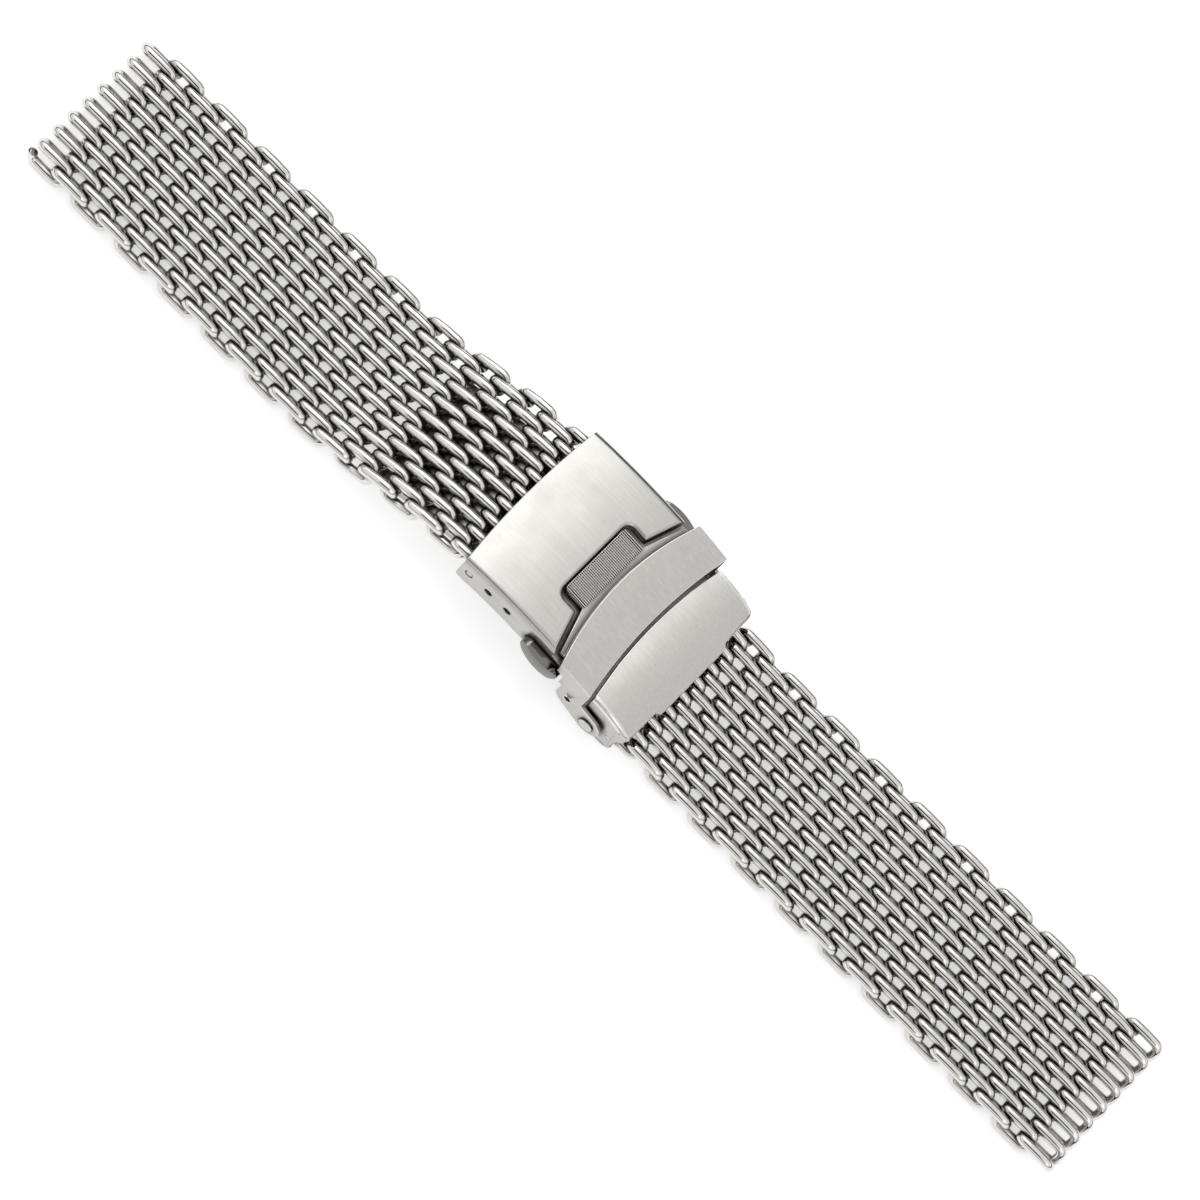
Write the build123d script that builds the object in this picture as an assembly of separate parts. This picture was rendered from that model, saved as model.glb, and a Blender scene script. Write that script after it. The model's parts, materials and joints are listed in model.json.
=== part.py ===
from build123d import *
import os
from math import asin, cos, degrees, pi, radians, sin, sqrt

# Linked wire mesh bracelet with a fold-over clasp, closed and laid flat.
# X runs along the band, Y across it, Z up from the surface that it lies on.

# Mesh
band_width = 24.0
rows_each_side = 20
turns = 8
wire = 1.25
wire_sides = 4
row_pitch = 3.95
loop_height = 2.6
hook_gap = 0.15
run_gap = 0.25
tip_lift = 0.1
tip_reach = 0.4

# Clasp arcs, all about one axis across the band
blade_radius = 54.5
blade_thick = 0.7
blade_gap = 0.1
blade_width = 18.6
long_blade_left = 23.7
long_blade_in_end = 3.5
blade_crest_height = 5.62292

# Cover
cover_left = 7.1
cover_right = 12.3
cover_thick = 0.7
cover_over_mesh = 0.08
cover_beside_mesh = 0.2
cover_wall_height = 5.4
cover_left_bow = 0.7
cover_bevel = 0.45
cover_corner = 1.4
deck_left = 3.9
deck_thick = 0.7

# Recess round the thumb tab and the slanted slits
recess_depth = 1.6
recess_left = 4.8
recess_half_width = 6.9
recess_corner = 1.2
slit_inner = 8.05
slit_outer = 9.9

# Adjusting holes and the bars
bar_diameter = 1.2
bar_tip_diameter = 1.0
adjust_hole = 1.2
adjust_holes = 3
adjust_pitch = 3.38
adjust_first = -4.94
bar_gap = 0.05
mesh_over_knuckle = 0.12

# Hinges
pin_diameter = 0.8
pin_gap = 0.03
knuckle_radius = 0.8
cover_knuckle_width = 12.0
cover_hinge_x = -5.0
knuckle_window_gap = 0.35
blade_knuckle_radius = 0.95
blade_knuckle_width = 5.8
knuckle_side_gap = 0.2
knuckle_neck_gap = 0.35
ear_gap = 0.4
ear_length = 2.2
ear_corner = 0.7

# Push-buttons
button_x = 9.0
button_length = 6.6
button_height = 2.4
button_drop = 3.7
button_proud = 1.6
button_end_proud = 0.35
button_gap = 0.05
button_flange = 0.6
button_flange_length = 7.8

# Catch inside the cover
catch_x = 9.0
catch_stem_radius = 1.0
catch_head_radius = 1.6
catch_head_thick = 0.6
catch_under_deck = 0.6
leaf_thick = 0.3
leaf_height = 1.1
leaf_below_button = 1.2
leaf_x = 6.4
leaf_finger_gap = 0.15
leaf_finger_end = 10.9

# End piece
end_inside_cover = 0.15
end_left = 16.3
end_left_bow = 1.3
end_right = 25.2
end_tongue = 0.65
end_tongue_width = 12.7
end_corner = 1.3
end_thick = 0.7
end_left_drop = 0.98
end_mid_x = 21.0
end_mid_drop = 0.15
end_right_drop = 0.9
end_skirt_height = 4.2
end_foot_left = 17.0
end_foot_right = 23.5
end_foot_height = 0.1
end_foot_corner = 1.3
end_base_left = 13.5
end_base_thick = 0.7
end_bevel = 0.45
b_bar_x = 22.5
b_bar_height = 3.0

# Flip lock
flip_wall = 0.6
flip_beside_cover = 0.1
flip_thick = 0.95
flip_proud = 0.7
flip_left = 9.35
flip_left_bow = 2.2
flip_right = 15.85
flip_right_bow = 1.25
flip_wall_left = 11.6
flip_wall_drop = 4.0
flip_bevel = 0.3
flange_over_deck = 0.7
flange_thick = 0.7
flange_gap = 0.3
tab_left = 4.95
tab_side_gap = 1.05
tab_corner = 0.6
flip_pivot_x = 19.2
flip_pivot_height = 3.3
flip_ear_radius = 2.1
flip_hole_x = 15.2
flip_hole_height = 4.7
flip_hole = 1.0
flip_hole_boss = 1.9
flip_button_relief_x = 12.75
flip_over_button = 0.6
rivet_diameter = 1.1
rivet_head_diameter = 2.25
rivet_head_thick = 0.25
rivet_gap = 0.05

# How the slope of the rows is shared out where the band comes down from the clasp
a_slope_shares = (0.3, 0.58, 0.8, 0.95, 1.0, 0.92, 0.62, 0.32, 0.1)
b_slope_shares = (1.0, 0.8, 0.4, 0.15)
steepest_slope = 60.0
slope_tries = 40

overrun = 1.0


# Values that follow from the ones above
arc_z = blade_crest_height - blade_radius
long_blade_right = end_left + long_blade_in_end
long_top = blade_radius + blade_thick
short_bottom = long_top + blade_gap
short_top = short_bottom + blade_thick
cover_hinge_radius = (short_bottom + short_top) / 2
blade_hinge_radius = long_top + blade_gap / 2
mesh_half = (loop_height + wire) / 2
mesh_radius = cover_hinge_radius + knuckle_radius + mesh_over_knuckle + mesh_half
cover_inner_radius = mesh_radius + mesh_half + cover_over_mesh
cover_outer_radius = cover_inner_radius + cover_thick
cover_wall_base = cover_outer_radius - cover_wall_height
deck_top = cover_outer_radius - recess_depth
deck_radius = deck_top - deck_thick
button_radius = cover_outer_radius - button_drop
catch_top_radius = deck_radius - catch_under_deck
leaf_base_radius = button_radius - leaf_below_button
flip_outer_radius = cover_outer_radius + flip_proud
flip_inner_radius = flip_outer_radius - flip_thick
flip_wall_base_radius = cover_outer_radius - flip_wall_drop
flip_relief_radius = button_radius + button_height / 2 + flip_over_button
flange_radius = deck_top + flange_over_deck
cover_width = band_width + 2 * (cover_thick + cover_beside_mesh)
end_width = cover_width - 2 * end_inside_cover
flip_width = cover_width + 2 * (flip_wall + flip_beside_cover)
tab_width = 2 * (recess_half_width - tab_side_gap)
cover_half = cover_width / 2
cover_inner_half = cover_half - cover_thick
link_length = row_pitch + wire + hook_gap
side_step = (wire + run_gap) / 2
turn_pitch = (band_width - wire - 2 * side_step) / (turns - 0.5)
bar_to_bend = (bar_diameter + wire) / 2 + bar_gap
pivot_to_bend = (wire + hook_gap) / 2


def height_on_arc(radius, x):
    return arc_z + sqrt(radius**2 - x**2)


def adjust_place(n):
    """The x and z of adjusting hole n, counted from the band's end of the cover."""
    x = adjust_first + n * adjust_pitch
    return x, height_on_arc(mesh_radius, x)


bar_a_x, bar_a_z = adjust_place(0)
cover_hinge_z = height_on_arc(cover_hinge_radius, cover_hinge_x)
blade_hinge_z = height_on_arc(blade_hinge_radius, long_blade_left)
blade_hinge_x = -long_blade_left
button_z = height_on_arc(button_radius, button_x)
end_left_height = height_on_arc(cover_outer_radius - end_left_drop, end_left)
end_mid_height = height_on_arc(cover_outer_radius - end_mid_drop, end_mid_x)
end_right_height = height_on_arc(cover_outer_radius - end_right_drop, end_right)


def row_path(starts_with_left_bend):
    """The middle line of one row's flat left-handed spiral, its ends bent back to close the loops."""
    half = link_length / 2
    rise = loop_height / 2
    top_y = (turns - 0.5) * turn_pitch / 2
    first = -1 if starts_with_left_bend else 1
    points = [
        Vector(-first * half, top_y + tip_reach, first * tip_lift),
        Vector(-first * half, top_y + side_step, first * rise),
    ]
    side = first
    for bend in range(2 * turns):
        y = top_y - bend * turn_pitch / 2
        points.append(Vector(side * half, y + side_step, side * rise))
        points.append(Vector(side * half, y - side_step, -side * rise))
        side = -side
    last_y = -top_y
    points.append(Vector(side * half, last_y - side_step, side * rise))
    points.append(Vector(side * half, last_y - tip_reach, side * tip_lift))
    return points


def ring_on_plane(ring, direction, origin, normal):
    """Carries a ring of points along a direction on to a plane."""
    reach = direction.dot(normal)
    return [p + direction * ((origin - p).dot(normal) / reach) for p in ring]


def faceted_wire(points, diameter, sides):
    """A straight-sided wire along a line of points, mitred at every bend, a corner uppermost on its runs."""
    start = Plane(origin=points[0], x_dir=Vector(1, 0, 0), z_dir=points[1] - points[0])
    ring = [
        start.from_local_coords(
            Vector(diameter / 2 * cos(2 * pi * n / sides), diameter / 2 * sin(2 * pi * n / sides))
        )
        for n in range(sides)
    ]
    rings = [ring]
    for n in range(1, len(points)):
        along = (points[n] - points[n - 1]).normalized()
        onward = (points[n + 1] - points[n]).normalized() if n + 1 < len(points) else along
        ring = ring_on_plane(ring, along, points[n], (along + onward).normalized())
        rings.append(ring)
    faces = [Face(Wire.make_polygon(rings[0])), Face(Wire.make_polygon(rings[-1]))]
    for here, there in zip(rings, rings[1:]):
        for n in range(sides):
            m = (n + 1) % sides
            faces.append(Face(Wire.make_polygon([here[n], here[m], there[m], there[n]])))
    return Solid(Shell(faces))


def slope_steps(shares, drop):
    """The slope of each row, in the given shares, that comes down by the drop in all."""
    low, high = 0.0, steepest_slope
    for _ in range(slope_tries):
        peak = (low + high) / 2
        fall = sum(row_pitch * sin(radians(peak * share)) for share in shares)
        if fall < drop:
            low = peak
        else:
            high = peak
    return [peak * share for share in shares]


def band_joints(start_x, start_z, shares, way):
    """The pivots from the clasp outwards and the slope of each row between two of them."""
    slopes = slope_steps(shares, start_z - mesh_half)
    slopes += [0.0] * (rows_each_side - len(slopes))
    x, z = start_x, start_z
    pivots = [(x, z)]
    for slope in slopes:
        x += way * row_pitch * cos(radians(slope))
        z -= row_pitch * sin(radians(slope))
        pivots.append((x, z))
    return pivots, slopes


# Pivots are half a hooked pair from the bends, so the bars set the first ones
bar_to_pivot = bar_to_bend - pivot_to_bend
a_pivots, a_slopes = band_joints(bar_a_x + bar_to_pivot, bar_a_z, a_slope_shares, -1)
b_pivots, b_slopes = band_joints(b_bar_x - bar_to_pivot, b_bar_height, b_slope_shares, 1)
left_end = a_pivots[-1][0] - pivot_to_bend - wire / 2
right_end = b_pivots[-1][0] + pivot_to_bend + wire / 2
centre_x = (left_end + right_end) / 2


def mesh_row(spiral, pivots, slopes, step, way):
    """A row placed between pivots step and step + 1, counted outwards from the clasp."""
    (x0, z0), (x1, z1) = pivots[step], pivots[step + 1]
    return Pos((x0 + x1) / 2, 0, (z0 + z1) / 2) * Rot(0, way * slopes[step], 0) * spiral


def band_rows(letter, pivots, slopes, way):
    """Every row of one band by its name, placed between its pivots."""
    left_first = faceted_wire(row_path(True), wire, wire_sides)
    right_first = faceted_wire(row_path(False), wire, wire_sides)
    rows = {}
    for step in range(rows_each_side):
        number = rows_each_side - step if way < 0 else step + 1
        spiral = left_first if number % 2 else right_first
        rows["mesh_%s_%02d" % (letter, number)] = mesh_row(spiral, pivots, slopes, step, way)
    return rows


# Shapes shared by the clasp's pieces
def side_extrude(sketch, width):
    """A side profile, drawn with x along the band and y up, made as wide as asked and centred."""
    return extrude(Plane.XZ * sketch, amount=width / 2, both=True)


def disc(x, z, radius):
    return Pos(x, z) * Circle(radius)


def arc_band(inner, outer, left, right):
    """A strip of side profile between two radii of the clasp's arc and two places along the band."""
    ring = Circle(outer) - Circle(inner)
    window = Pos((left + right) / 2, outer / 2) * Rectangle(right - left, outer + 2 * overrun)
    return Pos(0, arc_z) * (ring & window)


def bevelled_sides(solid, width, bevel):
    """The solid with its two highest edges, one each side of the band, cut to a bevel."""
    outline = [edge for edge in solid.edges() if abs(abs(edge.center().Y) - width / 2) < bevel]
    highest = sorted(outline, key=lambda edge: edge.center().Z)[-2:]
    return chamfer(highest, bevel)


def cross_bar(x, z, radius, width):
    return side_extrude(disc(x, z, radius), width)


def bowed_plan(left, left_bow, right, right_bow, width):
    """A plan outline between two edges, each bowed to the left at its middle by its bow."""
    half = width / 2
    left_edge = ThreePointArc((left + left_bow, -half), (left, 0), (left + left_bow, half))
    top = Line((left + left_bow, half), (right + right_bow, half))
    if right_bow:
        right_edge = ThreePointArc((right + right_bow, half), (right, 0), (right + right_bow, -half))
    else:
        right_edge = Line((right, half), (right, -half))
    bottom = Line((right + right_bow, -half), (left + left_bow, -half))
    return make_face([left_edge, top, right_edge, bottom])


def upright(sketch):
    """A plan outline made taller than the clasp."""
    return extrude(sketch, amount=cover_outer_radius, both=True)


def long_blade():
    notch = blade_knuckle_radius + knuckle_neck_gap
    plate = side_extrude(arc_band(blade_radius, long_top, -long_blade_left, long_blade_right), blade_width)
    barrel = cross_bar(blade_hinge_x, blade_hinge_z, blade_knuckle_radius, blade_width)
    middle = Box(2 * notch, blade_knuckle_width + 2 * knuckle_side_gap, 2 * notch)
    window = Box(
        2 * (knuckle_radius + knuckle_window_gap),
        cover_knuckle_width + 2 * knuckle_window_gap,
        2 * overrun + 2 * blade_thick,
    )
    solid = plate + barrel
    solid -= Pos(blade_hinge_x, 0, blade_hinge_z) * middle
    solid -= Pos(cover_hinge_x, 0, height_on_arc(blade_radius, cover_hinge_x)) * window
    return solid - cross_bar(blade_hinge_x, blade_hinge_z, pin_diameter / 2 + pin_gap, blade_width + overrun)


def short_blade():
    notch = blade_knuckle_radius + knuckle_neck_gap
    left = blade_hinge_x + notch
    right = cover_hinge_x - knuckle_radius - knuckle_window_gap
    left_neck = arc_band(short_bottom, short_top, blade_hinge_x, left + overrun)
    right_neck = arc_band(short_bottom, short_top, right - overrun, cover_hinge_x)
    solid = side_extrude(arc_band(short_bottom, short_top, left, right), blade_width)
    solid += side_extrude(left_neck, blade_knuckle_width) + side_extrude(right_neck, cover_knuckle_width)
    solid += cross_bar(blade_hinge_x, blade_hinge_z, blade_knuckle_radius, blade_knuckle_width)
    solid += cross_bar(cover_hinge_x, cover_hinge_z, knuckle_radius, cover_knuckle_width)
    bore = pin_diameter / 2 + pin_gap
    solid -= cross_bar(blade_hinge_x, blade_hinge_z, bore, blade_width)
    return solid - cross_bar(cover_hinge_x, cover_hinge_z, bore, blade_width)


def cover_top_cut():
    """What is cut off the cover's top for the flip lock: a slanted edge each side and a recess between."""
    far = cover_right + overrun
    half = cover_half + overrun
    slant = (slit_outer - slit_inner) / (cover_half - recess_half_width)
    outer_x = slit_inner + slant * (half - recess_half_width)
    outline = Polyline(
        (far, half),
        (outer_x, half),
        (slit_inner, recess_half_width),
        (recess_left, recess_half_width),
        (recess_left, -recess_half_width),
        (slit_inner, -recess_half_width),
        (outer_x, -half),
        (far, -half),
        close=True,
    )
    face = make_face(outline)
    inner = [v for v in face.vertices() if abs(v.X - recess_left) < wire]
    return extrude(fillet(inner, recess_corner), amount=cover_outer_radius)


def cover():
    wall = arc_band(cover_wall_base, cover_outer_radius, -cover_left, cover_right)
    low_left = wall.vertices().sort_by_distance((-cover_left, height_on_arc(cover_wall_base, cover_left)))[0]
    solid = side_extrude(fillet(low_left, cover_corner), cover_width)
    solid = bevelled_sides(solid, cover_width, cover_bevel)
    solid = solid & upright(bowed_plan(-cover_left, cover_left_bow, cover_right, 0, cover_width))
    tall = 2 * cover_inner_radius + overrun
    left_part = Circle(cover_inner_radius) & Pos(deck_left - tall / 2, 0) * Rectangle(tall, tall)
    inside = Circle(deck_radius) + left_part
    solid -= side_extrude(Pos(0, arc_z) * inside, 2 * cover_inner_half)
    top_cut = cover_top_cut() & side_extrude(
        arc_band(deck_radius + deck_thick, cover_outer_radius + overrun, 0, cover_right + 2 * overrun),
        cover_width + 2 * overrun,
    )
    solid -= top_cut
    ear = Rectangle(ear_length, 2 * knuckle_radius)
    ear = Pos(cover_hinge_x, cover_hinge_z) * fillet(ear.vertices(), ear_corner)
    wide_ear = side_extrude(ear, 2 * (cover_inner_half + cover_thick / 2))
    solid += wide_ear - side_extrude(ear, blade_width + 2 * ear_gap)
    solid -= cross_bar(cover_hinge_x, cover_hinge_z, pin_diameter / 2 + pin_gap, 2 * cover_inner_half)
    for n in range(adjust_holes):
        x, z = adjust_place(n)
        solid -= cross_bar(x, z, adjust_hole / 2, cover_width + overrun)
    window = button_outline(button_length + 2 * button_gap, button_height + 2 * button_gap)
    return solid - side_extrude(window, cover_width + overrun)


def button_outline(length, height):
    """A push-button's rounded side view, tipped to lie along the cover's arc."""
    tip = -degrees(asin(button_x / button_radius))
    return Pos(button_x, button_z) * Rot(0, 0, tip) * SlotOverall(length, height)


def button_plan():
    """A push-button from above, its outer face bowed out."""
    half = button_length / 2 + overrun
    face = -cover_half - button_end_proud
    bow = ThreePointArc(
        (button_x - half, face), (button_x, -cover_half - button_proud), (button_x + half, face)
    )
    back = Polyline(
        (button_x + half, face),
        (button_x + half, 0),
        (button_x - half, 0),
        (button_x - half, face),
    )
    return make_face([bow, back])


def button(side):
    """One push-button: its bowed cap, its shank in the wall and the flange that holds it inside."""
    inner = cover_inner_half - button_gap - button_flange
    shank = extrude(Plane.XZ * button_outline(button_length, button_height), amount=cover_half + button_proud)
    shank = shank & upright(button_plan())
    shank -= Box(2 * cover_width, 2 * inner, 2 * cover_width)
    flange = Plane.XZ.offset(inner) * button_outline(button_flange_length, button_height)
    solid = shank + extrude(flange, amount=button_flange)
    return solid if side < 0 else mirror(solid, Plane.XZ)


def catch_post():
    """A headed stud, turned about its own upright axis, standing on the long blade."""
    foot = height_on_arc(long_top, catch_x)
    top = height_on_arc(catch_top_radius, catch_x)
    stem = Pos(catch_x, 0, 0) * extrude(Circle(catch_stem_radius), amount=top)
    head = extrude(Circle(catch_head_radius), amount=catch_head_thick)
    head = Pos(catch_x, 0, top - catch_head_thick) * head
    below = side_extrude(Pos(0, arc_z) * Circle(long_top), blade_width)
    return stem + head - below


def latch_spring():
    """A leaf across the cover, from button to button, with two fingers beside the catch post."""
    reach = cover_inner_half - button_gap - button_flange - button_gap
    back = Pos(leaf_x, 0) * Rectangle(leaf_thick, 2 * reach)
    finger_y = catch_stem_radius + leaf_finger_gap + leaf_thick / 2
    finger = Pos((leaf_x + leaf_finger_end) / 2, finger_y) * Rectangle(leaf_finger_end - leaf_x, leaf_thick)
    plan = back + finger + mirror(finger, Plane.XZ)
    strip = side_extrude(
        arc_band(leaf_base_radius, leaf_base_radius + leaf_height, 0, cover_right),
        cover_width,
    )
    return strip & upright(plan)


def end_top_line(depth):
    """The line of the end piece's top from the side, or one that far below it."""
    return ThreePointArc(
        (end_left, end_left_height - depth),
        (end_mid_x, end_mid_height - depth),
        (end_right, end_right_height - depth),
    )


def end_outline():
    """The end piece from the side, its foot standing below its skirt."""
    top = end_top_line(0)
    rest = Polyline(
        (end_right, end_right_height),
        (end_right, end_skirt_height),
        (end_foot_right, end_skirt_height),
        (end_foot_right, end_foot_height),
        (end_foot_left, end_foot_height),
        (end_foot_left, end_skirt_height),
        (end_left, end_skirt_height),
        (end_left, end_left_height),
    )
    face = make_face([top, rest])
    feet = [v for v in face.vertices() if v.Y < end_foot_height + wire / 2]
    return fillet(feet, end_foot_corner)


def end_plan():
    """The end piece from above, its right edge a little longer in the middle."""
    half = end_width / 2
    tongue = end_tongue_width / 2
    edge = ThreePointArc((end_left + end_left_bow, -half), (end_left, 0), (end_left + end_left_bow, half))
    rest = Polyline(
        (end_left + end_left_bow, half),
        (end_right - end_tongue, half),
        (end_right - end_tongue, tongue + end_tongue),
        (end_right, tongue),
        (end_right, -tongue),
        (end_right - end_tongue, -tongue - end_tongue),
        (end_right - end_tongue, -half),
        (end_left + end_left_bow, -half),
    )
    face = make_face([edge, rest])
    outer = [v for v in face.vertices() if v.X > end_mid_x and abs(v.Y) > half - wire]
    return fillet(outer, end_corner)


def end_piece():
    inner_half = end_width / 2 - end_thick
    roof = end_top_line(end_thick)
    hollow = make_face(
        [
            roof,
            Polyline(
                (end_right, end_right_height - end_thick),
                (end_right + overrun, end_right_height - end_thick - overrun),
                (end_right + overrun, -overrun),
                (end_left - overrun, -overrun),
                (end_left - overrun, end_left_height - end_thick),
                (end_left, end_left_height - end_thick),
            ),
        ]
    )
    solid = bevelled_sides(side_extrude(end_outline(), end_width), end_width, end_bevel)
    solid = solid & upright(end_plan())
    solid -= side_extrude(hollow, 2 * inner_half)
    base = arc_band(long_top, long_top + end_base_thick, end_base_left, long_blade_right)
    solid += side_extrude(base, end_width)
    solid -= cross_bar(b_bar_x, b_bar_height, bar_diameter / 2, end_width + overrun)
    bore = cross_bar(flip_pivot_x, flip_pivot_height, rivet_diameter / 2, end_width + overrun)
    bore -= Box(2 * end_right, 2 * inner_half, 2 * end_right)
    return solid - bore


def capsule(x0, z0, r0, x1, z1, r1):
    """The outline round two discs."""
    return make_hull([disc(x0, z0, r0).edges()[0], disc(x1, z1, r1).edges()[0]])


def flip_lock():
    strap_right = flip_right + flip_right_bow
    strap = side_extrude(
        arc_band(flip_inner_radius, flip_outer_radius, flip_left - overrun, strap_right + overrun), flip_width
    )
    strap = bevelled_sides(strap, flip_width, flip_bevel)
    plan = bowed_plan(flip_left, flip_left_bow, flip_right, flip_right_bow, flip_width)
    strap = strap & upright(plan)
    wall = arc_band(flip_wall_base_radius, flip_inner_radius + flange_thick, flip_wall_left, strap_right)
    relief = arc_band(
        flip_wall_base_radius - overrun, flip_relief_radius, flip_wall_left - overrun, flip_button_relief_x
    )
    ear = capsule(
        flip_pivot_x, flip_pivot_height, flip_ear_radius, flip_hole_x, flip_hole_height, flip_hole_boss
    )
    join = Polyline(
        (flip_hole_x - flip_hole_boss, flip_hole_height),
        (flip_hole_x - flip_hole_boss, height_on_arc(flip_inner_radius, flip_hole_x)),
        (strap_right, height_on_arc(flip_inner_radius, strap_right)),
        (strap_right, flip_pivot_height),
        close=True,
    )
    side = wall - relief + ear + make_face(join)
    sides = side_extrude(side, flip_width) - side_extrude(side, flip_width - 2 * flip_wall)
    solid = strap + sides + flip_flange()
    solid -= cross_bar(flip_hole_x, flip_hole_height, flip_hole / 2, flip_width + overrun)
    return solid - cross_bar(
        flip_pivot_x, flip_pivot_height, rivet_diameter / 2 + rivet_gap, flip_width + overrun
    )


def flip_flange():
    """The stepped-down front of the flip lock, with the thumb tab in its middle."""
    half = cover_inner_half
    tab = tab_width / 2
    slant = (slit_outer - slit_inner) / (cover_half - recess_half_width)
    left = slit_inner + flange_gap
    outer_x = left + slant * (half - recess_half_width)
    right = flip_left + flip_left_bow + flip_wall
    outline = Polyline(
        (right, half),
        (outer_x, half),
        (left, recess_half_width),
        (left, tab),
        (tab_left, tab),
        (tab_left, -tab),
        (left, -tab),
        (left, -recess_half_width),
        (outer_x, -half),
        (right, -half),
        close=True,
    )
    face = make_face(outline)
    tips = [v for v in face.vertices() if abs(v.X - tab_left) < wire]
    flange = side_extrude(
        arc_band(flange_radius, flange_radius + flange_thick, 0, cover_right + overrun), cover_width
    )
    flange = flange & upright(fillet(tips, tab_corner))
    pad = arc_band(flange_radius, cover_outer_radius, tab_left + flange_gap, left)
    return flange + side_extrude(pad, tab_width - 2 * tab_corner)


def flip_rivets():
    """Two headed rivets, one each side, fast in the end piece."""
    inner = end_width / 2 - end_thick
    outer = flip_width / 2 + bar_gap
    shank = Plane.XZ.offset(inner) * disc(flip_pivot_x, flip_pivot_height, rivet_diameter / 2)
    head = Plane.XZ.offset(outer) * disc(flip_pivot_x, flip_pivot_height, rivet_head_diameter / 2)
    near = extrude(shank, amount=outer - inner) + extrude(head, amount=rivet_head_thick)
    return Compound([near.solid(), mirror(near, Plane.XZ).solid()])


def spring_bar():
    """The bar that holds the band in the cover, thinner at its sprung tips."""
    body = cross_bar(bar_a_x, bar_a_z, bar_diameter / 2, 2 * (cover_inner_half - bar_gap))
    return body + cross_bar(bar_a_x, bar_a_z, bar_tip_diameter / 2, cover_width - 2 * bar_gap)


def clasp_pieces():
    return {
        "long_blade": long_blade(),
        "short_blade": short_blade(),
        "cover": cover(),
        "end_piece": end_piece(),
        "flip_lock": flip_lock(),
        "flip_rivets": flip_rivets(),
        "button_near": button(-1),
        "button_far": button(1),
        "latch_spring": latch_spring(),
        "catch_post": catch_post(),
        "band_a_spring_bar": spring_bar(),
        "band_b_bar": cross_bar(b_bar_x, b_bar_height, bar_diameter / 2, end_width),
        "cover_hinge_pin": cross_bar(
            cover_hinge_x, cover_hinge_z, pin_diameter / 2, 2 * cover_inner_half
        ),
        "blade_hinge_pin": cross_bar(blade_hinge_x, blade_hinge_z, pin_diameter / 2, blade_width),
    }


def write(name, shape, lowest):
    """Writes a piece with the bracelet's middle over the origin and its lowest point at height 0."""
    placed = Pos(-centre_x, 0, -lowest) * shape
    placed.label = name
    export_step(placed, "parts/" + name + ".step")


os.makedirs("parts", exist_ok=True)
rows = band_rows("a", a_pivots, a_slopes, -1)
rows.update(band_rows("b", b_pivots, b_slopes, 1))
lowest = min(row.bounding_box().min.Z for row in rows.values())
for name, shape in {**rows, **clasp_pieces()}.items():
    write(name, shape, lowest)
print("overall length", round(right_end - left_end, 3))
print("middle at", round(centre_x, 4), "lowest at", round(lowest, 4))
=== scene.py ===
import json
from math import atan2, cos, radians, sin

import bmesh
import bpy
from mathutils import Matrix, Vector

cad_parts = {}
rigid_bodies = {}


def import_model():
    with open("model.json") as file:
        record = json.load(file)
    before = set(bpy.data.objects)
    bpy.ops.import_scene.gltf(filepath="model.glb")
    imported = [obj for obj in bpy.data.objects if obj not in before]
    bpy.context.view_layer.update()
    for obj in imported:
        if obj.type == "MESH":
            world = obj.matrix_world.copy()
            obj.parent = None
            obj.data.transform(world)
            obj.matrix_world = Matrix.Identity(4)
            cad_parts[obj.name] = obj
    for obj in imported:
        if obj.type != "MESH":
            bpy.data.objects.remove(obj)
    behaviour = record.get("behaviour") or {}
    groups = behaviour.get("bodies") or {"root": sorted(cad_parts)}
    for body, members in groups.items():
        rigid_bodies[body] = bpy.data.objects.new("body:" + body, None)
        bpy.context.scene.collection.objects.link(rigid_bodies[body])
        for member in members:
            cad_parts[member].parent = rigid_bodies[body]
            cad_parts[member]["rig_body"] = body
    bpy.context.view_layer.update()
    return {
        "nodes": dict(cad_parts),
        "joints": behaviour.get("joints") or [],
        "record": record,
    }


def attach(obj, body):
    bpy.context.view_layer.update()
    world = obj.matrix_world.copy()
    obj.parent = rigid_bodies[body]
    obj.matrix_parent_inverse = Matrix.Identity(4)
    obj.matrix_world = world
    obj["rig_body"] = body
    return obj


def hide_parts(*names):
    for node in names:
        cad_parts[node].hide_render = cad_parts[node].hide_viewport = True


# A linked steel mesh bracelet, laid flat, with its fold-over clasp closed.
# X runs along the band, Y across it, Z up. Lengths are metres, written in millimetres times mm.
mm = 0.001

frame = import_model()

# Camera
photo_pixels = 1200
pixels_per_mm = 7.75
camera_elevation = radians(67)
camera_roll = radians(45)
camera_distance = 1000 * mm
sensor = 36 * mm
far_clip = 10
looks_at = Vector((0.2 * mm, 0.35 * mm, 2.0 * mm))
photo_drop = 2.8

# Wire mesh
rows_each_side = 20
turns = 8
wire_diameter = 1.38 * mm
row_pitch = 3.95 * mm
loop_height = 2.47 * mm
hook_gap = 0.1 * mm
run_gap = 0.04 * mm
band_width = 24.0 * mm
bend_radius = 0.9 * mm
arch_share = 0.28
bend_steps = 7
wire_sides = 14
tip_lift = 0.1 * mm
tip_reach = 0.4 * mm
bar_gap = 0.05 * mm
bar_diameter = 1.2 * mm
cad_wire_diameter = 1.25 * mm
cad_hook_gap = 0.15 * mm
bar_to_pivot = (bar_diameter + cad_wire_diameter) / 2 + bar_gap - (cad_wire_diameter + cad_hook_gap) / 2
link_length = row_pitch + wire_diameter + hook_gap
end_trim = 0.11 * mm

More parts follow.
